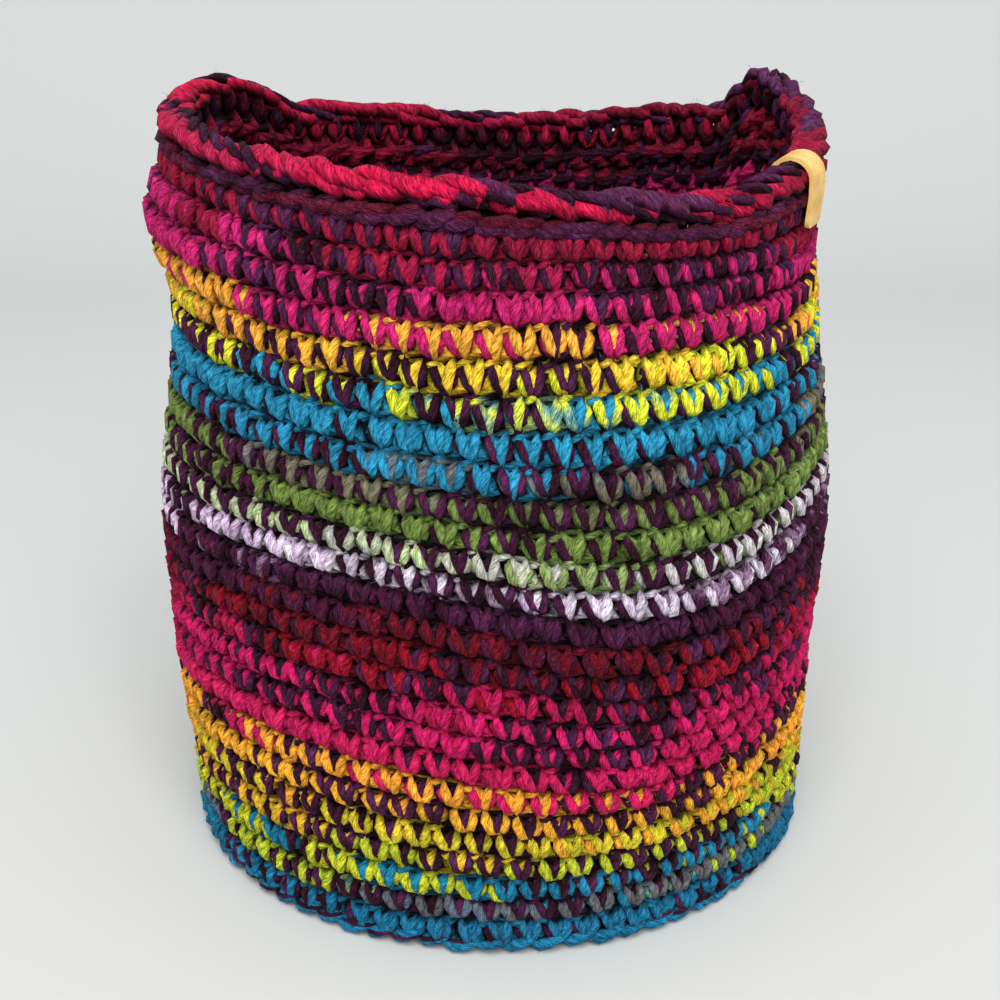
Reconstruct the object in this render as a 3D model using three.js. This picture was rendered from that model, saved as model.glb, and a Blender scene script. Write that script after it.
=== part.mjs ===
import * as THREE from "three";

// Crocheted tote basket, in millimetres, +Z up, standing on the middle of its base at the origin
// The body is one fabric, worked in rounds from the base centre out, up the wall and over the rim

// Stitches and rounds
const STITCHES = 72; // in one round of the wall
const INCREASES = 6; // stitches gained by each round of the base
const WALL_ROUNDS = 26;
const ROUND_PITCH = 9; // height of one wall round
const BASE_PITCH = 9.2; // width of one base round
const FABRIC = 9; // thickness over the stitches
const RELIEF = 2.6; // how deep the groove between two outer rounds is
const INNER_RELIEF = 1.3; // the same on the flatter inside
const BASE_RELIEF = 1.4; // and under the base, which its own weight presses flat
const FOOT_RISE = 3; // height of the loop ring round the foot of the wall
const FOOT_OUT = 0.6; // how far that ring stands out past the fabric

// Lie of the wall, measured from the edge of the base
const BELLY_OUT = 4.8; // how far the belly stands out
const BELLY_TOP = 0.3; // part of the wall height at which the belly is reached
const MOUTH_SIDE_IN = 3.4; // how far the mouth draws in at the sides
const MOUTH_FRONT_IN = 23.3; // and at front and back
const BASE_FRONT_IN = 4.4; // how much narrower the base itself is from front to back

// Rim: two chains of loops, the lower one standing out as a lip
const LIP_OUT = 1.5;
const CHAIN_OUT = 1;
const RIM_ROUNDS = 1.5; // height of the rim, in rounds

// Ears of the rim, each a peak on a low shoulder: azimuth, rise, spread to each side, how pointed
const EARS = [
  { azimuth: 163, rise: 16, before: 26, after: 96, point: 1.2 },
  { azimuth: 140, rise: 5, before: 55, after: 40, point: 2 },
  { azimuth: 22, rise: 13.5, before: 42, after: 16, point: 1.6 },
  { azimuth: 38, rise: 5, before: 40, after: 42, point: 2 },
  { azimuth: 24, rise: 3.5, before: 16, after: 12, point: 1.5 },
];
const EAR_FROM = 0.5; // part of the wall height below which the ears no longer lift the rounds

// Where the soft wall slumps: azimuth, height, how wide and tall, how far out and how far down
const SLUMPS = [
  { azimuth: -62, height: 0.5, wide: 30, tall: 0.26, out: 8, down: 9 },
  { azimuth: -130, height: 0.35, wide: 32, tall: 0.3, out: -2, down: -5 },
  { azimuth: -90, height: 0.7, wide: 50, tall: 0.13, out: 2, down: 3.2 },
  { azimuth: -95, height: 0.92, wide: 60, tall: 0.07, out: 0, down: -2 },
  { azimuth: 182, height: 0.91, wide: 48, tall: 0.06, out: 8, down: 0 },
  { azimuth: 180, height: 0.52, wide: 50, tall: 0.2, out: 2.5, down: 0 },
  { azimuth: -10, height: 0.97, wide: 34, tall: 0.16, out: -4, down: 0 },
  { azimuth: -4, height: 0.3, wide: 45, tall: 0.16, out: -4, down: 0 },
  { azimuth: 90, height: 1.05, wide: 75, tall: 0.3, out: 0, down: 5 },
  { azimuth: -52, height: 1.03, wide: 20, tall: 0.06, out: 0, down: 5 },
  { azimuth: -104, height: 1.03, wide: 18, tall: 0.06, out: 0, down: -2.5 },
];
const SLUMP_FROM = 0.15; // part of the wall height below which the base holds the wall round

// Leather tag, folded over the rim
const TAG_AZIMUTH = -22.5;
const TAG_WIDTH = 12.5;
const TAG_THICK = 1.4;
const TAG_DROP = 22; // from the top of the fold to the end of the outer flap
const TAG_TUCK = 18; // the same for the inner flap
const TAG_CORNER = 2.5; // radius of the flap corners
const TAG_GAP = 0.3; // between the leather and the stitches

// Columns used where the shape is plainer than the stitches
const INNER_COLUMNS = 22;
const BASE_STEP = 4; // base rounds that share one count of columns
const FOLD_STEPS = 12;
const CORNER_STEPS = 4;

// Sizes worked out from the ones above
const BASE_ROUNDS = Math.round(STITCHES / INCREASES);
const BASE_RADIUS = BASE_ROUNDS * BASE_PITCH;
const HALF = FABRIC / 2;
const RIM_LEVEL = WALL_ROUNDS + RIM_ROUNDS;
const INNER_FLAT = (BASE_RADIUS * (Math.PI / INNER_COLUMNS) ** 2) / 2; // how far flat inner faces cut in

// Rim: groove under the lip, lip chain, groove, upper chain, top and inner edge, by share of its height
const RIM = [
  { share: 0, phase: 0.5, out: HALF - RELIEF },
  { share: 0.22, phase: 0, out: HALF + LIP_OUT },
  { share: 0.5, phase: 0.5, out: HALF - RELIEF / 3 },
  { share: 0.76, phase: 0, out: HALF - RELIEF / 6 },
  { share: 1, phase: 0.5, out: -CHAIN_OUT / 2 },
  { share: 0.66, phase: 0, out: -HALF - CHAIN_OUT },
];

const radians = THREE.MathUtils.degToRad;
const smooth = (value) => THREE.MathUtils.smoothstep(value, 0, 1);

// Signed angle in degrees from one azimuth to another, the short way round
function bearing(from, to) {
  const turn = (to - from) / 360;
  return 360 * (turn - Math.round(turn));
}

// Height an ear adds to the rim at an azimuth
function earRise(ear, azimuth) {
  const off = bearing(ear.azimuth, azimuth);
  const share = Math.min(1, Math.abs(off) / (off < 0 ? ear.before : ear.after));
  return ear.rise * Math.cos((Math.PI / 2) * share) ** ear.point;
}

// Middle of the fabric at a turn round the basket and a level counted in rounds
function wallMiddle(turn, level) {
  const part = level / WALL_ROUNDS;
  const azimuth = 360 * turn;
  const belly = BASE_RADIUS + BELLY_OUT * smooth(part / BELLY_TOP);
  const side = belly - (BELLY_OUT + MOUTH_SIDE_IN) * smooth((part - 0.45) / 0.4);
  const draw = BELLY_OUT + MOUTH_FRONT_IN - BASE_FRONT_IN;
  const front = belly - BASE_FRONT_IN - draw * smooth(part - 0.1);
  const squeeze = (side - front) / (side + front);
  const angle = radians(azimuth) + (squeeze / 2) * Math.sin(2 * radians(azimuth));
  let out = 0;
  let height = FOOT_RISE + ROUND_PITCH * level;
  for (const slump of SLUMPS) {
    const across = bearing(slump.azimuth, azimuth) / slump.wide;
    const along = (part - slump.height) / slump.tall;
    const hold = Math.exp(-across * across - along * along) * smooth(part / SLUMP_FROM);
    out += slump.out * hold;
    height -= slump.down * hold;
  }
  const lift = smooth((part - EAR_FROM) / (1 - EAR_FROM));
  for (const ear of EARS) {
    height += lift * earRise(ear, azimuth);
  }
  return new THREE.Vector3((side + out) * Math.cos(angle), (front + out) * Math.sin(angle), height);
}

// Outward direction of the fabric at the same turn and level
function wallOutward(turn, level) {
  const step = 0.002;
  const along = wallMiddle(turn + step, level).sub(wallMiddle(turn - step, level));
  const up = wallMiddle(turn, level + step).sub(wallMiddle(turn, level - step));
  return along.cross(up).normalize();
}

// Point of the wall that stands a distance out of the middle of the fabric
function wallPoint(turn, level, out) {
  return wallMiddle(turn, level).addScaledVector(wallOutward(turn, level), out);
}

// Point of the flat base, which is a little oval, at a radius and height
function basePoint(turn, radius, height) {
  const angle = radians(360 * turn);
  const oval = 1 - BASE_FRONT_IN / BASE_RADIUS;
  return new THREE.Vector3(radius * Math.cos(angle), oval * radius * Math.sin(angle), height);
}

// Closed ring of points, each placed by its turn
function makeRing(count, phase, place) {
  const points = [];
  for (let index = 0; index < count; index += 1) {
    points.push(place((index + phase) / count));
  }
  return { count, phase, points };
}

// Columns of a base round, more of them further out
function baseColumns(round) {
  return INCREASES * Math.ceil(round / BASE_STEP);
}

// Rings from the middle of the underside, out, up the wall, over the rim and down to the floor
function bodyRings() {
  const rings = [makeRing(3, 0, (turn) => basePoint(turn, BASE_PITCH * 0.25, 0))];
  for (let round = 1; round <= BASE_ROUNDS; round += 1) {
    const columns = baseColumns(round);
    const inner = (round - 0.72) * BASE_PITCH;
    const outer = (round - 0.28) * BASE_PITCH;
    const groove = round * BASE_PITCH;
    if (round > 1) {
      rings.push(makeRing(columns, 0, (turn) => basePoint(turn, inner, 0)));
    }
    rings.push(makeRing(columns, 0, (turn) => basePoint(turn, outer, 0)));
    if (round < BASE_ROUNDS) {
      rings.push(makeRing(columns, 0, (turn) => basePoint(turn, groove, BASE_RELIEF)));
    }
  }

  // Loop ring left standing round the foot, where the base turns up into the wall
  const footLevel = -FOOT_RISE / (2 * ROUND_PITCH);
  rings.push(makeRing(STITCHES, 0, (turn) => wallPoint(turn, footLevel, HALF + FOOT_OUT)));

  // Outer stitches: grooves at the stitch edges, crests at the stitch middles, each round half a stitch on
  for (let round = 0; round < WALL_ROUNDS; round += 1) {
    const phase = 0.5 * ((round + 1) % 2);
    const grooveOut = HALF - RELIEF;
    rings.push(makeRing(STITCHES, phase, (turn) => wallPoint(turn, round, grooveOut)));
    rings.push(makeRing(STITCHES, 0.5 - phase, (turn) => wallPoint(turn, round + 0.55, HALF)));
  }

  for (const { share, phase, out } of RIM) {
    const level = WALL_ROUNDS + share * RIM_ROUNDS;
    rings.push(makeRing(STITCHES, phase, (turn) => wallPoint(turn, level, out)));
  }

  // Inside of the wall: flatter bars with grooves between the rounds
  for (let round = WALL_ROUNDS; round > 1; round -= 1) {
    const grooveOut = INNER_RELIEF - HALF;
    rings.push(makeRing(INNER_COLUMNS, 0, (turn) => wallPoint(turn, round, grooveOut)));
    rings.push(makeRing(INNER_COLUMNS, 0.5, (turn) => wallPoint(turn, round - 0.5, -HALF)));
  }

  // Floor, one ring for each base round
  rings.push(makeRing(INNER_COLUMNS, 0, (turn) => basePoint(turn, BASE_RADIUS - HALF, FABRIC)));
  for (let round = BASE_ROUNDS - 1; round >= 1; round -= 1) {
    const radius = (round - 0.5) * BASE_PITCH;
    rings.push(makeRing(baseColumns(round), 0, (turn) => basePoint(turn, radius, FABRIC)));
  }
  return rings;
}

// Faces between two rings, stepping whichever ring has the nearer next point
function zipRings(lower, upper, faces) {
  let low = 0;
  let high = 0;
  while (low < lower.count || high < upper.count) {
    const lowNext = (low + 1 + lower.phase) / lower.count;
    const highNext = (high + 1 + upper.phase) / upper.count;
    const here = lower.first + (low % lower.count);
    const there = upper.first + (high % upper.count);
    if (high >= upper.count || (low < lower.count && lowNext <= highNext)) {
      low += 1;
      faces.push(here, lower.first + (low % lower.count), there);
    } else {
      high += 1;
      faces.push(here, upper.first + (high % upper.count), there);
    }
  }
}

// Fan that closes the first or last ring
function capRing(ring, faces, facingOut) {
  for (let index = 1; index < ring.count - 1; index += 1) {
    const near = ring.first + index;
    faces.push(ring.first, facingOut ? near + 1 : near, facingOut ? near : near + 1);
  }
}

// Closed mesh through a row of rings, capped at both ends
function ringGeometry(rings) {
  const positions = [];
  const faces = [];
  for (const ring of rings) {
    ring.first = positions.length / 3;
    for (const point of ring.points) {
      positions.push(point.x, point.y, point.z);
    }
  }
  capRing(rings[0], faces, true);
  for (let index = 1; index < rings.length; index += 1) {
    zipRings(rings[index - 1], rings[index], faces);
  }
  capRing(rings[rings.length - 1], faces, false);
  const geometry = new THREE.BufferGeometry();
  geometry.setAttribute("position", new THREE.Float32BufferAttribute(positions, 3));
  geometry.setIndex(faces);
  geometry.computeVertexNormals();
  return geometry;
}

// Axes of the rim where the tag sits: along the rim, up the wall and out of it
function tagAxes() {
  const turn = TAG_AZIMUTH / 360;
  const reach = TAG_WIDTH / 2 / (2 * Math.PI * BASE_RADIUS);
  const along = wallMiddle(turn + reach, RIM_LEVEL).sub(wallMiddle(turn - reach, RIM_LEVEL)).normalize();
  const low = WALL_ROUNDS - TAG_DROP / ROUND_PITCH;
  const rise = wallMiddle(turn, RIM_LEVEL).sub(wallMiddle(turn, low));
  const out = along.clone().cross(rise).normalize();
  const up = out.clone().cross(along);
  return { along, up, out, origin: wallMiddle(turn, RIM_LEVEL) };
}

// Fabric under the tag, as points measured on those axes
function fabricUnderTag(axes) {
  const rows = RIM.map(({ share, out }) => ({ level: WALL_ROUNDS + share * RIM_ROUNDS, out }));
  for (let round = 1; round * ROUND_PITCH < TAG_DROP; round += 1) {
    rows.push({ level: WALL_ROUNDS - round + 0.55, out: HALF });
    rows.push({ level: WALL_ROUNDS - round + 0.5, out: -HALF - INNER_FLAT });
  }
  const columns = 8;
  const wide = TAG_WIDTH / 2 / (2 * Math.PI * BASE_RADIUS);
  const points = [];
  for (let column = -columns; column <= columns; column += 1) {
    const turn = TAG_AZIMUTH / 360 + (wide * column) / columns;
    for (const { level, out } of rows) {
      const offset = wallPoint(turn, level, out).sub(axes.origin);
      points.push({ up: offset.dot(axes.up), out: offset.dot(axes.out) });
    }
  }
  return points;
}

// Middle line of the leather, from the inner flap end over the fold to the outer flap end
function tagStations(fabric) {
  const spare = TAG_GAP + TAG_THICK / 2;
  const lip = fabric.reduce((far, point) => (point.out > far.out ? point : far));
  const outer = lip.out + spare;
  const inner = Math.min(...fabric.map((point) => point.out)) - spare;
  const top = Math.max(...fabric.map((point) => point.up)) + spare;
  const middle = (outer + inner) / 2;
  const half = (outer - inner) / 2;
  const outerEnd = top - TAG_DROP;
  const innerEnd = top - TAG_TUCK;

  // Below the lip the outer flap leans in until it meets the wall
  const wall = fabric.filter((point) => point.out > 0 && point.up < lip.up - ROUND_PITCH / 2);
  const lean = Math.min(...wall.map((point) => (lip.out - point.out) / (lip.up - point.up)));
  const stations = [];
  for (let step = 0; step <= CORNER_STEPS; step += 1) {
    const angle = (Math.PI / 2) * (step / CORNER_STEPS);
    const up = innerEnd + TAG_CORNER * (1 - Math.cos(angle));
    stations.push({ out: inner, up, narrow: TAG_CORNER * (1 - Math.sin(angle)), facing: Math.PI });
  }
  for (let step = 0; step <= FOLD_STEPS; step += 1) {
    const angle = Math.PI * (1 - step / FOLD_STEPS);
    const up = top - half * (1 - Math.sin(angle));
    stations.push({ out: middle + half * Math.cos(angle), up, narrow: 0, facing: angle });
  }
  stations.push({ out: outer, up: lip.up, narrow: 0, facing: -Math.atan(lean) / 2 });
  for (let step = CORNER_STEPS; step >= 0; step -= 1) {
    const angle = (Math.PI / 2) * (step / CORNER_STEPS);
    const up = outerEnd + TAG_CORNER * (1 - Math.cos(angle));
    const out = outer - lean * (lip.up - up);
    stations.push({ out, up, narrow: TAG_CORNER * (1 - Math.sin(angle)), facing: -Math.atan(lean) });
  }
  return stations;
}

// Leather strip as a run of oblong sections along that line
function tagGeometry() {
  const axes = tagAxes();
  const rings = tagStations(fabricUnderTag(axes)).map((station) => {
    const skin = new THREE.Vector3()
      .addScaledVector(axes.out, Math.cos(station.facing))
      .addScaledVector(axes.up, Math.sin(station.facing));
    const centre = axes.origin
      .clone()
      .addScaledVector(axes.out, station.out)
      .addScaledVector(axes.up, station.up);
    const half = TAG_WIDTH / 2 - station.narrow;
    const corners = [
      [-half, -1],
      [half, -1],
      [half, 1],
      [-half, 1],
    ];
    const points = corners.map(([across, side]) =>
      centre
        .clone()
        .addScaledVector(axes.along, across)
        .addScaledVector(skin, (side * TAG_THICK) / 2),
    );
    return { count: corners.length, phase: 0, points };
  });
  return ringGeometry(rings);
}

const yarn = new THREE.MeshStandardMaterial({ color: 0x8a2a55, roughness: 0.95, metalness: 0 });
const leather = new THREE.MeshStandardMaterial({ color: 0xd9ad5b, roughness: 0.6, metalness: 0 });

const body = new THREE.Mesh(ringGeometry(bodyRings()), yarn);
body.name = "crochet_body";

const tag = new THREE.Mesh(tagGeometry(), leather);
tag.name = "leather_tag";

const basket = new THREE.Group();
basket.name = "crochet_tote_basket";
basket.add(body, tag);

export default basket;
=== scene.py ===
import math

import bmesh
import bpy
import numpy as np
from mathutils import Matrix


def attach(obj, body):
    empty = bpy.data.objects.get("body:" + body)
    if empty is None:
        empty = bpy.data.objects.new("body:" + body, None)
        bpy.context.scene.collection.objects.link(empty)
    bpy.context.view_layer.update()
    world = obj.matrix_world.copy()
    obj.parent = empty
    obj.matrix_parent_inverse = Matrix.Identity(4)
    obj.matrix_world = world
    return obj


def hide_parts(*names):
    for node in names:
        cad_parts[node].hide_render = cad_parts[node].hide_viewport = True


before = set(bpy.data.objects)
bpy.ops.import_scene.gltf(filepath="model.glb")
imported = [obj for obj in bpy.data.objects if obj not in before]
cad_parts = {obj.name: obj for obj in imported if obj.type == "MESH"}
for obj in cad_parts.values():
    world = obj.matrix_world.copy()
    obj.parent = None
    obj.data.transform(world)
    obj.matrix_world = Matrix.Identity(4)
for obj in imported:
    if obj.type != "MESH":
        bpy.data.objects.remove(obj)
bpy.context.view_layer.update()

# Base of the bag: a flat disc of single crochet, worked from the middle out in twelve rounds that
# each gain six stitches. Three strands of medium acrylic yarn are held together as one: two
# self-striping rainbow strands and one of dark plum. Sizes are in millimetres.
metre = 1000.0
stitches = 72
increases = 6
base_rounds = stitches // increases
base_pitch = 9.2
base_radius = base_rounds * base_pitch
base_front_in = 4.4
base_flatness = 0.5  # share of the relief of a stitch that is left when it is pressed flat
base_unevenness = 0.6
base_fullness = (1.3, 1.3, 1.2)
middle_hole = 0.12  # in rounds
stitch_width = 2.0 * math.pi * base_radius / stitches
round_shift = 0.58  # stitches by which each round starts after the one below
fabric = 9.0
strand_count = 3
strand_radius = 1.5
strand_sides = 5
strand_apart = 1.3  # from the middle of the yarn to each strand
hand = np.random.default_rng(58)

# One single crochet along the yarn. Each point is stitch widths along the round, rounds up,
# millimetres out of the middle of the fabric, and the fullness of the yarn there.
single_crochet = np.array([
    (-0.38, 0.66, -1.7, 1.7),
    (0.22, 0.58, -1.8, 1.75),
    (0.00, 0.12, 0.3, 0.85),
    (-0.13, 0.40, 1.9, 1.1),
    (-0.21, 0.68, 2.2, 1.16),
    (-0.30, 0.95, -0.4, 0.9),
    (0.30, 0.95, -0.4, 0.9),
    (0.21, 0.68, 2.2, 1.16),
    (0.13, 0.40, 1.9, 1.1),
    (0.04, 0.12, 0.3, 0.85),
    (0.46, 0.22, -1.6, 1.7),
    (0.34, 0.88, -0.5, 0.85),
    (0.62, 0.98, 1.8, 0.74),
    (0.88, 1.10, -0.5, 0.85),
])

# How far hand work strays from stitch to stitch: radians that the strands wind about each other,
# stitch widths along, rounds up, millimetres out, and shares of the width and of the fullness
stray_winding = 1.0
stray_along = 0.045
stray_up = 0.04
stray_out = 0.25
stray_width = 0.12
stray_fullness = 0.12


def bundle_axes(loop, pitch):
    """Two directions square to the yarn at each point of a loop that repeats every stitch."""
    path = loop[:, :3] * (stitch_width, pitch, 1.0)
    step = np.array((stitch_width, 0.0, 0.0))
    run = np.vstack([path[-1] - step, path, path[0] + step])
    along = run[2:] - run[:-2]
    along /= np.linalg.norm(along, axis=1, keepdims=True)
    across = np.zeros_like(path)
    first = np.cross(along[0], (0.0, 0.0, 1.0))
    across[0] = first / np.linalg.norm(first)
    for spot in range(1, len(path)):
        carried = across[spot - 1] - along[spot] * across[spot - 1].dot(along[spot])
        across[spot] = carried / np.linalg.norm(carried)
    third = np.cross(along, across)
    closed = across[-1] - along[0] * across[-1].dot(along[0])
    drift = math.atan2(closed.dot(third[0]), closed.dot(across[0]))
    back = -drift * np.arange(len(path))[:, None] / len(path)
    one = across * np.cos(back) + third * np.sin(back)
    two = third * np.cos(back) - across * np.sin(back)
    return one, two


def work_round(place, low, loop, count, start, pitch, unevenness, lean, apart):
    """One closed round: its strands' paths and depths, its fullness and its share of the round."""
    steps = hand.normal(0.0, stray_winding, count)
    turning = np.cumsum(steps - steps.mean()) + hand.uniform(0.0, 2.0 * math.pi)
    share = np.arange(len(loop)) / len(loop)
    turned = turning[:, None] + (np.roll(turning, -1) - turning)[:, None] * share
    slip = hand.normal(0.0, stray_along, (count, 1)) * unevenness
    lift = hand.normal(0.0, stray_up, (count, 1)) * unevenness
    swell = hand.normal(0.0, stray_out, (count, 1)) * unevenness
    spread = 1.0 + hand.normal(0.0, stray_width, (count, 1)) * unevenness
    along = loop[:, 0] * spread + slip + lean * (0.5 - loop[:, 1])
    up = loop[:, 1] + lift
    out = loop[:, 2] + swell
    one, two = bundle_axes(loop, pitch)
    paths = []
    depths = []
    for strand in range(strand_count):
        angle = turned + strand * 2.0 * math.pi / strand_count
        full = loop[:, 3] + hand.normal(0.0, stray_fullness, angle.shape) * unevenness
        aside = np.cos(angle)[..., None] * one + np.sin(angle)[..., None] * two
        push = apart * full[..., None] * aside
        turn = (np.arange(count)[:, None] + start + along + push[..., 0] / stitch_width) / count
        depth = out + push[..., 2]
        points = place(turn, low + (up + push[..., 1] / pitch), depth)
        paths.append(points.reshape(-1, 3) / metre)
        depths.append(depth.ravel())
    round_share = ((np.arange(count)[:, None] + start + share) / count).ravel()
    fullness = np.tile(loop[:, 3], count)
    return {"paths": paths, "depths": depths, "full": fullness, "share": round_share}


def base_point(turn, level, out):
    """Point of the base in millimetres: level in rounds from the middle, out towards the floor."""
    angle = 2.0 * math.pi * turn
    radius = np.maximum(level, middle_hole) * base_pitch
    oval = 1.0 - base_front_in / base_radius
    height = fabric / 2 - base_flatness * out
    return np.stack([radius * np.cos(angle), oval * radius * np.sin(angle), height], -1)


section = bpy.data.curves.new("yarn_section", "CURVE")
section.dimensions = "2D"
ring = section.splines.new("POLY")
ring.points.add(strand_sides - 1)
for number, point in enumerate(ring.points):
    around = 2.0 * math.pi * number / strand_sides
    radius = strand_radius / metre
    point.co = (radius * math.cos(around), radius * math.sin(around), 0.0, 1.0)
ring.use_cyclic_u = True
section_shape = bpy.data.objects.new("yarn_section", section)
bpy.context.scene.collection.objects.link(section_shape)


def mesh_of(curve):
    """The mesh that a curve's own thickness makes."""
    lay = bpy.data.objects.new("lay", curve)
    bpy.context.scene.collection.objects.link(lay)
    laid = lay.evaluated_get(bpy.context.evaluated_depsgraph_get())
    mesh = bpy.data.meshes.new_from_object(laid)
    bpy.data.objects.remove(lay)
    return mesh


def mark(mesh, label, values):
    """A number kept at every vertex, for the finish to read."""
    kept = mesh.attributes.new(label, "FLOAT", "POINT")
    kept.data.foreach_set("value", values.astype(np.float32))


def spin_yarn(name, paths, depths, facings, fullness, dyes):
    """Round strand along closed paths, with its dye, length so far and depth at every vertex."""
    curve = bpy.data.curves.new(name, "CURVE")
    curve.dimensions = "3D"
    curve.bevel_mode = "OBJECT"
    curve.bevel_object = section_shape
    for path, full in zip(paths, fullness):
        spline = curve.splines.new("POLY")
        spline.points.add(len(path) - 1)
        spline.points.foreach_set("co", np.c_[path, np.ones(len(path))].ravel())
        spline.points.foreach_set("radius", full)
        spline.use_cyclic_u = True
    mesh = mesh_of(curve)
    lengths = []
    outward = []
    # Painted shade: the side of each strand that faces out of the fabric comes out lighter
    for path, (aside, upward) in zip(paths, facings):
        gone = np.cumsum(np.linalg.norm(np.diff(path, axis=0), axis=1))
        lengths.append(np.r_[0.0, gone])
        level = path[:, :2] / np.linalg.norm(path[:, :2], axis=1, keepdims=True)
        outward.append(np.c_[aside * level, np.full(len(path), upward)])
    skin = np.empty(3 * len(mesh.vertices))
    mesh.vertices.foreach_get("co", skin)
    offset = skin.reshape(-1, 3) - np.repeat(np.concatenate(paths), strand_sides, axis=0)
    facing = np.repeat(np.concatenate(outward), strand_sides, axis=0)
    proud_for_painted_shade = metre * (offset * facing).sum(axis=1)
    mark(mesh, "dye", np.repeat(np.concatenate(dyes), strand_sides))
    mark(mesh, "length", np.repeat(np.concatenate(lengths), strand_sides))
    mark(mesh, "depth", np.repeat(np.concatenate(depths), strand_sides) + proud_for_painted_shade)
    return mesh


class Socket:
    """A shader value that takes part in plain sums, and makes the nodes it needs."""

    def __init__(self, tree, socket=None):
        self.tree = tree
        self.socket = socket

    def node(self, kind, settings, sockets, output=0):
        made = self.tree.nodes.new(kind)
        for name, value in settings.items():
            if name == "stops":
                ramp = made.color_ramp
                while len(ramp.elements) < len(value):
                    ramp.elements.new(0.5)
                for element, (position, colour) in zip(ramp.elements, value):
                    element.position = position
                    element.color = colour
            else:
                setattr(made, name, value)
        for key, value in sockets.items():
            if isinstance(value, Socket):
                self.tree.links.new(value.socket, made.inputs[key])
            else:
                made.inputs[key].default_value = value
        return Socket(self.tree, made.outputs[output])

    def math(self, operation, first, second=0.0):
        return self.node("ShaderNodeMath", {"operation": operation}, {0: first, 1: second})

    def mix(self, blend, share, first, second):
        """Two colours mixed: a Mix node's colours are its sockets 6 and 7, and its output 2."""
        settings = {"data_type": "RGBA", "blend_type": blend}
        return self.node("ShaderNodeMix", settings, {0: share, 6: first, 7: second}, 2)

    def __add__(self, other):
        return self.math("ADD", self, other)

    def __radd__(self, other):
        return self.math("ADD", other, self)

    def __sub__(self, other):
        return self.math("SUBTRACT", self, other)

    def __rsub__(self, other):
        return self.math("SUBTRACT", other, self)

    def __mul__(self, other):
        return self.math("MULTIPLY", self, other)

    def __rmul__(self, other):
        return self.math("MULTIPLY", other, self)


def shade(red, green, blue):
    """Colour as it looks, 0 to 255, as the light values the shader takes."""
    parts = []
    for part in (red, green, blue):
        value = part / 255.0
        parts.append(value / 12.92 if value <= 0.04045 else ((value + 0.055) / 1.055) ** 2.4)
    return (*parts, 1.0)


# Stripes of the rainbow yarn, by the round of the wall in which each lies
dye_first = -1.0
dye_length = 31.0
dye_stripes = [
    (-0.6, shade(20, 108, 140)),
    (0.05, shade(104, 98, 96)),
    (0.35, shade(20, 108, 146)),
    (1.46, shade(24, 130, 164)),
    (1.49, shade(178, 196, 46)),
    (2.7, shade(194, 198, 42)),
    (3.9, shade(232, 168, 44)),
    (5.8, shade(246, 156, 52)),
    (5.87, shade(200, 26, 84)),
    (8.4, shade(192, 22, 90)),
    (10.4, shade(138, 6, 30)),
    (11.8, shade(96, 8, 26)),
    (12.6, shade(66, 14, 42)),
    (13.76, shade(74, 26, 62)),
    (13.79, shade(206, 178, 210)),
    (14.66, shade(206, 194, 206)),
    (14.9, shade(168, 186, 124)),
    (15.8, shade(112, 138, 60)),
    (17.2, shade(98, 112, 58)),
    (17.7, shade(110, 100, 90)),
    (17.95, shade(34, 126, 166)),
    (20.33, shade(38, 146, 180)),
    (20.36, shade(204, 216, 48)),
    (21.3, shade(240, 214, 46)),
    (21.6, shade(240, 170, 56)),
    (22.02, shade(236, 156, 60)),
    (22.09, shade(192, 30, 96)),
    (24.0, shade(184, 30, 100)),
    (24.5, shade(152, 16, 52)),
    (25.2, shade(108, 12, 42)),
    (28.5, shade(194, 16, 62)),
    (29.4, shade(80, 34, 72)),
]
dye_stops = [((start - dye_first) / dye_length, colour) for start, colour in dye_stripes]

# The plum yarn has no stripes: it goes from dark to light with the blotches of its dye
plum_stops = [(0.4, shade(46, 10, 28)), (0.66, shade(74, 26, 64))]

# Painted shade: the light left in the hollows of the fabric, and a little more on its proudest
# tops, by millimetres out of its middle
hollow_low = -5.0
hollow_span = 10.0
painted_hollow_shade_stops = [
    ((out - hollow_low) / hollow_span, (light, light, light, 1.0))
    for out, light in ((-4.0, 0.85), (-2.0, 0.22), (0.6, 0.12), (3.6, 1.1))
]

# The yarn close up: its plies and their turns to a metre, how fine its fibres lie across a ply and
# along a metre, the size of its blotches, and how many rounds both shift the edge of a stripe. Then
# the painted highlights and shade of fibres and plies, how blotches lighten it, its painted pale
# sheen, and the relief of plies and fibres.
plies = 4.0
ply_turns = 265.0
fibres_across = 6.5
fibres_along = 620.0
blotch_scale = 90.0
blotch_shift = 0.4
fibre_shift = 0.12
fibre_painted_light = {"From Min": 0.34, "From Max": 0.66, "To Min": 0.36, "To Max": 1.5}
ply_painted_shade = (0.8, 0.25)
blotch_light = (0.4, 1.2)
painted_sheen_scale = 1.9
painted_sheen_colour = shade(214, 176, 200)
painted_sheen_share = {"From Min": 0.52, "From Max": 0.74, "To Min": 0.0, "To Max": 0.07}
ply_height = 0.6
fibre_height = 0.8
yarn_relief = 0.0008


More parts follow.
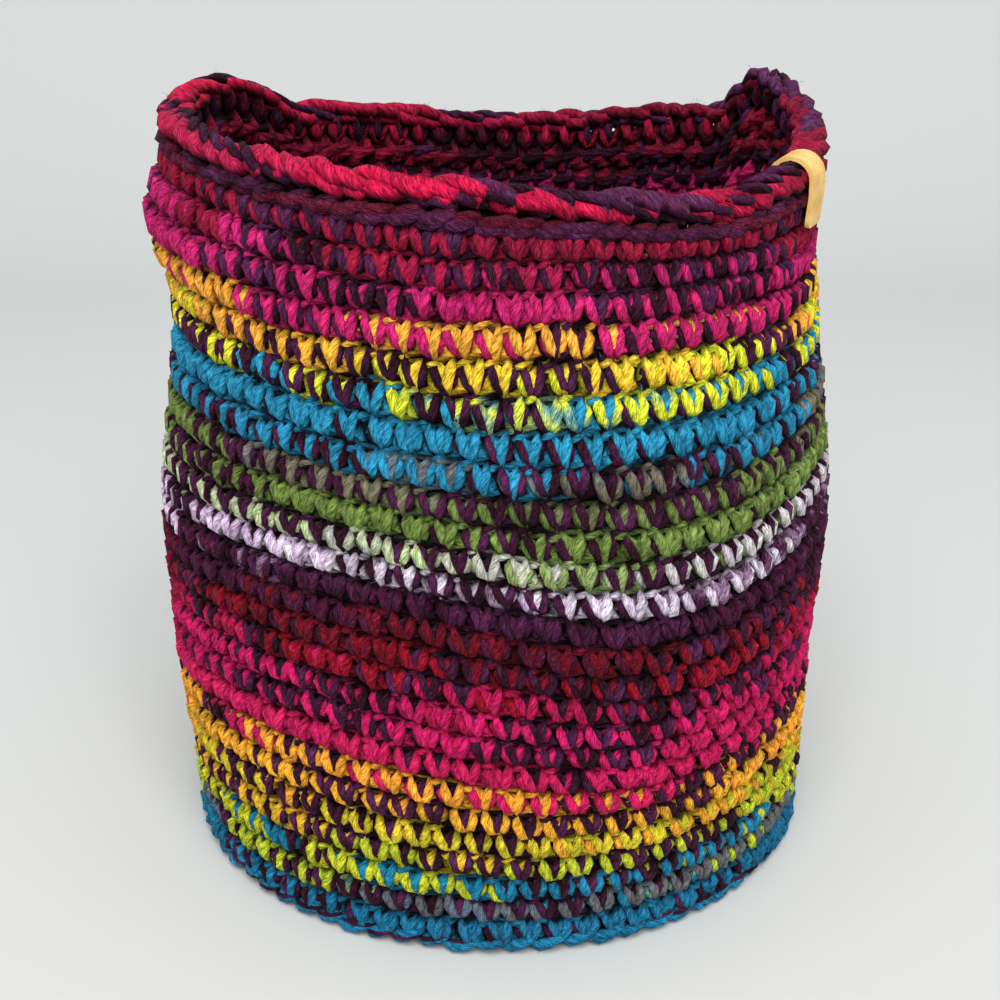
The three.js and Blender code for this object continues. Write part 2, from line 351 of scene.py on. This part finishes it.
def yarn_finish(name, stops, striped):
    """Acrylic yarn: its dye, ply twist and loose fibres, with painted shade, highlights and sheen.
    """
    material = bpy.data.materials.new(name)
    material.use_nodes = True
    tree = material.node_tree
    shader = tree.nodes["Principled BSDF"]
    yarn = Socket(tree)
    dye = yarn.node("ShaderNodeAttribute", {"attribute_name": "dye"}, {}, "Fac")
    length = yarn.node("ShaderNodeAttribute", {"attribute_name": "length"}, {}, "Fac")
    depth = yarn.node("ShaderNodeAttribute", {"attribute_name": "depth"}, {}, "Fac")
    place = yarn.node("ShaderNodeTexCoord", {}, {}, "Object")
    lay = yarn.node("ShaderNodeUVMap", {"uv_map": "UVMap"}, {})
    girth = yarn.node("ShaderNodeSeparateXYZ", {}, {0: lay}, "Y")

    wound = girth * plies + length * ply_turns
    bulge = yarn.math("ABSOLUTE", yarn.math("SINE", wound * math.pi))
    strip_sockets = {0: wound * fibres_across, 1: length * fibres_along, 2: dye}
    strip = yarn.node("ShaderNodeCombineXYZ", {}, strip_sockets)
    fibre_sockets = {"Vector": strip, "Scale": 1.0, "Detail": 2.0, "Roughness": 0.6}
    fibres = yarn.node("ShaderNodeTexNoise", {}, fibre_sockets)
    blotch_sockets = {"Vector": place, "Scale": blotch_scale, "Detail": 1.0}
    blotches = yarn.node("ShaderNodeTexNoise", {}, blotch_sockets)

    spot = blotches
    if striped:
        shift = (blotches - 0.5) * blotch_shift + (fibres - 0.5) * fibre_shift
        spot = (dye - dye_first + shift) * (1.0 / dye_length)
    colour = yarn.node("ShaderNodeValToRGB", {"stops": stops}, {0: spot})
    # Painted sheen: pale fibre streaks mixed into the colour, where light catches the fuzz of the
    # yarn
    painted_sheen_sockets = {"Vector": strip, "Scale": painted_sheen_scale, "Detail": 1.0}
    painted_sheen_noise = yarn.node("ShaderNodeTexNoise", {}, painted_sheen_sockets)
    painted_sheen_amount = yarn.node("ShaderNodeMapRange", {}, {"Value": painted_sheen_noise, **painted_sheen_share})
    with_painted_sheen = yarn.mix("MIX", painted_sheen_amount, colour, painted_sheen_colour)

    # Painted highlights and shade: fibres lighten and darken the yarn in streaks, and each ply is
    # lighter on its crown than at its edges; the blotches are the yarn's own tone
    fibre_highlight_and_shade = yarn.node("ShaderNodeMapRange", {}, {"Value": fibres, **fibre_painted_light})
    ply_shade = ply_painted_shade[0] + bulge * ply_painted_shade[1]
    body = fibre_highlight_and_shade * ply_shade * (blotch_light[0] + blotches * blotch_light[1])
    shade_and_tone_grey = yarn.node("ShaderNodeCombineColor", {}, {0: body, 1: body, 2: body})
    # Painted shade: the deeper a vertex lies in the fabric, the darker its colour
    sunk = (depth - hollow_low) * (1.0 / hollow_span)
    painted_hollow_shade = yarn.node("ShaderNodeValToRGB", {"stops": painted_hollow_shade_stops}, {0: sunk})
    colour_with_painted_shade = yarn.mix("MULTIPLY", 1.0, yarn.mix("MULTIPLY", 1.0, with_painted_sheen, shade_and_tone_grey), painted_hollow_shade)

    height = bulge * ply_height + fibres * fibre_height
    bump_sockets = {"Strength": 1.0, "Distance": yarn_relief, "Height": height}
    bump = yarn.node("ShaderNodeBump", {}, bump_sockets)
    tree.links.new(colour_with_painted_shade.socket, shader.inputs["Base Color"])
    tree.links.new(bump.socket, shader.inputs["Normal"])
    shader.inputs["Roughness"].default_value = 0.65
    shader.inputs["Specular IOR Level"].default_value = 0.03
    shader.inputs["Sheen Weight"].default_value = 0.02
    shader.inputs["Sheen Roughness"].default_value = 0.45
    return material


rainbow_yarn = yarn_finish("rainbow_yarn", dye_stops, True)
plum_yarn = yarn_finish("plum_yarn", plum_stops, False)
strands = (("rainbow", rainbow_yarn), ("trailing_rainbow", rainbow_yarn), ("plum", plum_yarn))


def add_to_body(name, mesh, finish):
    """A finished piece of the crocheted body, in its yarn."""
    piece = bpy.data.objects.new(name, mesh)
    bpy.context.scene.collection.objects.link(piece)
    piece.data.materials.append(finish)
    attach(piece, "root")
    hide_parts("crochet_body")


def work_piece(name, rounds):
    """The three strands of some rounds, as three pieces of the body."""
    for number, (strand, finish) in enumerate(strands):
        piece_name = f"{name}_{strand}_strand"
        paths = [work["paths"][number] for work in rounds]
        depths = [work["depths"][number] for work in rounds]
        facings = [work["facing"] for work in rounds]
        fullness = [work["full"] * work["weights"][number] for work in rounds]
        dyes = [work["dyes"][number] for work in rounds]
        mesh = spin_yarn(piece_name, paths, depths, facings, fullness, dyes)
        add_to_body(piece_name, mesh, finish)


# The base is pressed flat and hidden, so its stitch has every second point or so of the full one.
# Its stripes run back from the green of its edge to the lilac half way in, and on to green again.
base_stitch = single_crochet[[0, 2, 4, 7, 9, 10, 12]]
base_dye = 17.4
dye_start = 0.1  # in rounds of stripes
trailing = 1.3  # rounds by which the second rainbow strand lies behind the first
base_work = []
for count in range(1, base_rounds + 1):
    work = work_round(
        base_point, count - 1, base_stitch, increases * count, round_shift * count,
        base_pitch, base_unevenness, 0.0, strand_apart,
    )
    run_back = (base_rounds - count + 1) * count / base_rounds
    dye = base_dye - run_back + work["share"] - dye_start
    work.update(facing=(0.0, -1.0), weights=base_fullness, dyes=(dye, dye - trailing, dye))
    base_work.append(work)
work_piece("base", base_work)

# Wall of the bag: twenty-six closed rounds of the same stitch, each worked into the top loops of
# the round below, so that it leans on a little. It stands by its own stiffness, bellied low down,
# drawn in to an oval mouth, slumped to the front right and lifted to ears at both sides of the rim.
wall_rounds = 26
round_pitch = 9.0
foot_rise = 3.0
belly_out = 4.8
mouth_side_in = 3.4
mouth_front_in = 23.3
wall_fullness = (1.05, 1.05, 0.88)
wall_unevenness = 1.0
wall_lean = 0.1  # stitch widths from the foot of a stitch to its top
seam_turn = 0.25  # the rounds start at the back

# Parts of the wall's height at which the belly is reached, the sides and the front draw in, the
# base no longer holds the wall round, and the ears begin
belly_top = 0.3
side_in_from = 0.45
side_in_over = 0.4
front_in_from = 0.1
slump_from = 0.15
ear_from = 0.5

# Ears: azimuth of the peak, its rise, the degrees before and after it, and how pointed it is
ears = [
    (163, 16, 26, 96, 1.2),
    (140, 5, 55, 40, 2),
    (22, 13.5, 42, 16, 1.6),
    (38, 5, 40, 42, 2),
    (24, 3.5, 16, 12, 1.5),
]

# Slumps: azimuth, part of the height, how wide and tall each is, and how far it sags out and down
slumps = [
    (-62, 0.5, 30, 0.26, 8, 9),
    (-130, 0.35, 32, 0.3, -2, -5),
    (-90, 0.7, 50, 0.13, 2, 3.2),
    (-95, 0.92, 60, 0.07, 0, -2),
    (182, 0.91, 48, 0.06, 8, 0),
    (180, 0.52, 50, 0.2, 2.5, 0),
    (-10, 0.97, 34, 0.16, -4, 0),
    (-4, 0.3, 45, 0.16, -4, 0),
    (90, 1.05, 75, 0.3, 0, 5),
    (-52, 1.03, 20, 0.06, 0, 5),
    (-104, 1.03, 18, 0.06, 0, -2.5),
]


def smooth(value):
    """Step from 0 to 1 that starts and ends gently."""
    held = np.clip(value, 0.0, 1.0)
    return held * held * (3.0 - 2.0 * held)


def bearing(start, end):
    """Degrees from one azimuth to another, the short way round."""
    turn = (end - start) / 360.0
    return 360.0 * (turn - np.round(turn))


def wall_middle(turn, level):
    """Middle of the wall's fabric in millimetres, at a turn round the bag and a level in rounds."""
    part = level / wall_rounds
    azimuth = 360.0 * turn
    belly = base_radius + belly_out * smooth(part / belly_top)
    side_draw = belly_out + mouth_side_in
    side = belly - side_draw * smooth((part - side_in_from) / side_in_over)
    front_draw = belly_out + mouth_front_in - base_front_in
    front = belly - base_front_in - front_draw * smooth(part - front_in_from)
    angle = np.radians(azimuth)
    angle = angle + 0.5 * (side - front) / (side + front) * np.sin(2.0 * angle)
    height = foot_rise + round_pitch * level
    away = 0.0
    for centre, middle, wide, tall, out, down in slumps:
        across = bearing(centre, azimuth) / wide
        along = (part - middle) / tall
        hold = np.exp(-across * across - along * along) * smooth(part / slump_from)
        away = away + out * hold
        height = height - down * hold
    lift = smooth((part - ear_from) / (1.0 - ear_from))
    for peak, rise, before, after, point in ears:
        off = bearing(peak, azimuth)
        reach = np.minimum(1.0, np.abs(off) / np.where(off < 0.0, before, after))
        height = height + lift * rise * np.cos(0.5 * math.pi * reach) ** point
    return np.stack([(side + away) * np.cos(angle), (front + away) * np.sin(angle), height], -1)


def wall_point(turn, level, out):
    """Point that far out of the middle of the wall, at a turn from where the rounds start."""
    small = 0.002
    here = turn + seam_turn
    along = wall_middle(here + small, level) - wall_middle(here - small, level)
    up = wall_middle(here, level + small) - wall_middle(here, level - small)
    outward = np.cross(along, up)
    outward /= np.linalg.norm(outward, axis=-1, keepdims=True)
    return wall_middle(here, level) + outward * np.asarray(out)[..., None]


# The stripes move on with each round and are pulled further along at the sides. The second rainbow
# strand trails the first by fewer rounds higher up the wall, and by more at the sides.
dye_pull = 0.3
side_pull = 0.22
drift_rounds = (9, 13, 16, 19)
drift_behind = (trailing, 0.6, 0.6, 0.7)
side_behind = 0.5
wall_work = []
for level in range(wall_rounds):
    work = work_round(
        wall_point, level, single_crochet, stitches, round_shift * level,
        round_pitch, wall_unevenness, wall_lean, strand_apart,
    )
    around = 2.0 * math.pi * (work["share"] + seam_turn)
    dye = level + work["share"] - dye_start - dye_pull * np.cos(around)
    dye = dye + side_pull * (1.0 + np.cos(2.0 * around))
    behind = np.interp(level, drift_rounds, drift_behind) + side_behind * np.cos(around) ** 2
    work.update(facing=(1.0, 0.0), weights=wall_fullness, dyes=(dye, dye - behind, dye))
    wall_work.append(work)
half_way = wall_rounds // 2
work_piece("lower_wall", wall_work[:half_way])
work_piece("upper_wall", wall_work[half_way:])

# Rim of the bag: one row of slip stitches in the same yarn along the top edge, whose chain shows as
# two rows of slanted links: the lower ones stand out as a lip, the upper ones lie over the edge.
# The same chain shows as a low ridge round the foot, where the wall turns up from the base.
upper_link = np.array([
    (-0.45, 0.08, -2.9, 1.12),
    (-0.06, 0.17, -2.0, 1.25),
    (0.36, 0.19, -0.2, 1.3),
    (0.80, 0.12, 1.5, 1.28),
    (1.20, -0.02, 2.3, 1.12),
])
lower_link = np.array([
    (-0.10, -0.10, 1.4, 1.0),
    (0.20, -0.12, 2.6, 1.2),
    (0.56, -0.02, 3.0, 1.25),
    (0.90, 0.13, 2.6, 1.1),
    (1.08, 0.18, 1.2, 1.0),
])
inner_link = np.array([
    (0.00, -0.50, -2.0, 0.9),
    (0.02, -0.15, -3.0, 1.2),
    (0.08, 0.20, -2.6, 1.2),
    (0.36, 0.30, -1.4, 0.9),
    (0.70, -0.30, -1.4, 0.9),
])
upper_level = wall_rounds + 0.94
lower_level = wall_rounds + 0.22
inner_level = wall_rounds + 0.6
foot_level = 0.17
chain_start = 0.3
inner_start = 0.8
chain_unevenness = 0.7


def ease(loop):
    """The same loop with a point added between each two, on a smooth curve through them."""
    step = np.array((1.0, 0.0, 0.0, 0.0))
    before = np.vstack([loop[-1] - step, loop[:-1]])
    after = np.vstack([loop[1:], loop[0] + step])
    beyond = np.vstack([loop[2:], loop[:2] + step])
    between = (9.0 * (loop + after) - before - beyond) / 16.0
    return np.stack([loop, between], 1).reshape(-1, 4)


def work_chain(loop, level, start, apart):
    """One closed round of chain links along the wall."""
    return work_round(
        wall_point, level, loop, stitches, start, round_pitch, chain_unevenness, 0.0, apart,
    )


# Upper links: full and crimson, brightest at the left and the front, with one violet strand at the
# front middle and at the right ear. They all lie open to the light, so they get the painted shade
# of one depth, lightest on their side that faces up and out.
upper_apart = 1.8
upper_fullness = (1.4, 1.4, 0.8)
upper_facing = (0.35, 0.94)
upper_shade_depth = 2.2
crimson_dye = 27.2
crimson_pull = (1.4, 0.8)
violet_dye = 29.4
violet_front = (0.49, 0.6)
violet_ear = (0.74, 0.95)
upper = work_chain(ease(upper_link), upper_level, chain_start, upper_apart)
around = 2.0 * math.pi * (upper["share"] + seam_turn)
crimson = crimson_dye - crimson_pull[0] * np.cos(around) - crimson_pull[1] * np.sin(around)
at_front = (upper["share"] > violet_front[0]) & (upper["share"] < violet_front[1])
at_ear = (upper["share"] > violet_ear[0]) & (upper["share"] < violet_ear[1])
with_violet = np.where(at_front | at_ear, violet_dye, crimson)
upper["depths"] = [np.full(depths.shape, upper_shade_depth) for depths in upper["depths"]]
upper.update(facing=upper_facing, weights=upper_fullness, dyes=(crimson, with_violet, crimson))

# Lower links and the bars inside: maroon, with the second strand further along its stripes
lower_apart = 1.05
inner_apart = 1.2
maroon_dye = 12.2
lower_ahead = 1.0
inner_ahead = 15.0
lower = work_chain(ease(lower_link), lower_level, chain_start, lower_apart)
maroon = np.full(lower["share"].shape, maroon_dye)
lower_dyes = (maroon, maroon + lower_ahead, maroon)
lower.update(facing=(1.0, 0.0), weights=wall_fullness, dyes=lower_dyes)
inner = work_chain(inner_link, inner_level, inner_start, inner_apart)
maroon = np.full(inner["share"].shape, maroon_dye)
inner_dyes = (maroon, maroon + inner_ahead, maroon)
inner.update(facing=(1.0, 0.0), weights=wall_fullness, dyes=inner_dyes)

# Chain at the foot: both rainbow strands blue, with the plum one thin between them
foot_apart = 0.8
foot_fullness = (0.95, 0.95, 0.5)
blue_dye = 0.6
foot = work_chain(lower_link, foot_level, chain_start, foot_apart)
blue = np.full(foot["share"].shape, blue_dye)
foot.update(facing=(1.0, 0.0), weights=foot_fullness, dyes=(blue, blue, blue))
rim_work = [upper, lower, inner, foot]
work_piece("rim", rim_work)
bpy.data.objects.remove(section_shape)

# Loose fibres: the nap of the acrylic yarn, single fibres about a millimetre long that have worked
# loose from the strands of the wall and rim and are still held in their twist. They are thickest
# along the rim, where hands rub it. These sizes are in metres.
nap_length = 0.001
nap_spread = (0.5, 1.4)
nap_width = 0.00008
nap_root = 0.9
nap_bend = 0.8
nap_proud = 1.0
floor_gap = 0.0003
rainbow_fibres = 14000
plum_fibres = 6000
rim_thickness = 8


def raise_nap(name, work, wanted, strand_numbers, finish):
    """Short fibres that leave the strands of some rounds at random."""
    spots = []
    dyes = []
    depths = []
    radii = []
    for row in work:
        for number in strand_numbers:
            spots.append(row["paths"][number])
            dyes.append(row["dyes"][number])
            depths.append(row["depths"][number])
            radii.append(strand_radius / metre * row["full"] * row["weights"][number])
    spots = np.concatenate(spots)
    chosen = hand.integers(0, len(spots), wanted)
    middle = spots[chosen]
    away = hand.normal(0.0, 1.0, middle.shape)
    away /= np.linalg.norm(away, axis=1, keepdims=True)
    reach = nap_length * hand.uniform(*nap_spread, (wanted, 1))
    start = middle + away * nap_root * np.concatenate(radii)[chosen][:, None]
    end = start + (away + hand.normal(0.0, nap_bend, middle.shape)) * reach
    end[:, 2] = np.maximum(end[:, 2], floor_gap)
    curve = bpy.data.curves.new(name, "CURVE")
    curve.dimensions = "3D"
    curve.extrude = nap_width / 2
    for points in np.stack([start, end], 1):
        spline = curve.splines.new("POLY")
        spline.points.add(1)
        spline.points.foreach_set("co", np.c_[points, np.ones(2)].ravel())
    mesh = mesh_of(curve)
    corners = len(mesh.vertices) // wanted
    mark(mesh, "dye", np.repeat(np.concatenate(dyes)[chosen], corners))
    # Painted shade: the fibres count a millimetre prouder than their strands, so they come out
    # lighter
    mark(mesh, "depth", np.repeat(np.concatenate(depths)[chosen] + nap_proud, corners))
    add_to_body(name, mesh, finish)


napped = wall_work + rim_thickness * rim_work
raise_nap("rainbow_nap", napped, rainbow_fibres, (0, 1), rainbow_yarn)
raise_nap("plum_nap", napped, plum_fibres, (2,), plum_yarn)

# Leather tag: one strip of honey tan leather, folded over the rim at the right, where it clips on
# by the grip of its fold. Its face is smooth and a little cloudy, with fine pores, and bare.
pore_scale = 2200.0
pore_depth = 0.0002
cloud_scale = 160.0
tan_stops = [(0.3, shade(214, 166, 84)), (0.7, shade(236, 198, 118))]
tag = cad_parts["leather_tag"]
leather = bpy.data.materials.new("tag_leather")
leather.use_nodes = True
leather_shader = leather.node_tree.nodes["Principled BSDF"]
hide = Socket(leather.node_tree)
hide_place = hide.node("ShaderNodeTexCoord", {}, {}, "Object")
grain = hide.node("ShaderNodeTexVoronoi", {}, {"Vector": hide_place, "Scale": pore_scale})
cloud_sockets = {"Vector": hide_place, "Scale": cloud_scale, "Detail": 3.0}
cloud = hide.node("ShaderNodeTexNoise", {}, cloud_sockets)
tan = hide.node("ShaderNodeValToRGB", {"stops": tan_stops}, {0: cloud})
pore_sockets = {"Strength": 0.25, "Distance": pore_depth, "Height": grain}
pores = hide.node("ShaderNodeBump", {}, pore_sockets)
leather.node_tree.links.new(tan.socket, leather_shader.inputs["Base Color"])
leather.node_tree.links.new(pores.socket, leather_shader.inputs["Normal"])
leather_shader.inputs["Roughness"].default_value = 0.55
tag.data.materials.clear()
tag.data.materials.append(leather)

# Floor: a plain pale sheet of matt paper under the bag. It lies flat and sweeps up behind the bag
# in one round bend, as in a small studio. Its sizes are in metres.
floor_reach = 3.0
floor_steps = 120
sweep_start = 0.75
sweep_radius = 0.45
quarter = sweep_radius * math.pi / 2.0
ground = bmesh.new()
bmesh.ops.create_grid(ground, x_segments=1, y_segments=floor_steps, size=floor_reach)
for corner in ground.verts:
    over = corner.co.y - sweep_start
    if over > 0.0:
        turn = min(over / sweep_radius, math.pi / 2.0)
        corner.co.y = sweep_start + sweep_radius * math.sin(turn)
        corner.co.z = sweep_radius * (1.0 - math.cos(turn)) + max(over - quarter, 0.0)
for face in ground.faces:
    face.smooth = True
floor_mesh = bpy.data.meshes.new("floor")
ground.to_mesh(floor_mesh)
ground.free()
floor = bpy.data.objects.new("floor", floor_mesh)
bpy.context.scene.collection.objects.link(floor)
paint = bpy.data.materials.new("floor_paint")
paint.use_nodes = True
paint_shader = paint.node_tree.nodes["Principled BSDF"]
paint_shader.inputs["Base Color"].default_value = shade(206, 207, 204)
paint_shader.inputs["Roughness"].default_value = 0.7
floor_mesh.materials.append(paint)

# Light: the even, slightly cool light of an overcast room from all sides, and one large soft lamp
# like a window, above and in front of the bag.
room_colour = (0.93, 0.96, 1.0, 1.0)
room_strength = 0.82
window_side = 1.2
window_watts = 30.0
world = bpy.data.worlds.new("room")
bpy.context.scene.world = world
world.use_nodes = True
world.node_tree.nodes["Background"].inputs["Color"].default_value = room_colour
world.node_tree.nodes["Background"].inputs["Strength"].default_value = room_strength
lamp = bpy.data.lights.new("window", "AREA")
lamp.shape = "RECTANGLE"
lamp.size = window_side
lamp.size_y = window_side
lamp.energy = window_watts
window = bpy.data.objects.new("window", lamp)
window.location = (0.05, -1.15, 1.5)
window.rotation_euler = (math.radians(41.0), 0.0, math.radians(2.5))
bpy.context.scene.collection.objects.link(window)

# Camera: a little above the rim in front of the bag, looking down on it as the photo does. Its lens
# is given as focal length over picture width.
sensor = 36.0
lens_over_width = 1.583
look_down = 22.37
eye = bpy.data.cameras.new("camera")
eye.sensor_width = sensor
eye.lens = sensor * lens_over_width
eye.shift_x = 0.0015
camera = bpy.data.objects.new("camera", eye)
camera.location = (0.0, -0.5387, 0.340)
camera.rotation_euler = (math.radians(90.0 - look_down), 0.0, 0.0)
bpy.context.scene.collection.objects.link(camera)
bpy.context.scene.camera = camera
bpy.context.scene.view_settings.view_transform = "Standard"
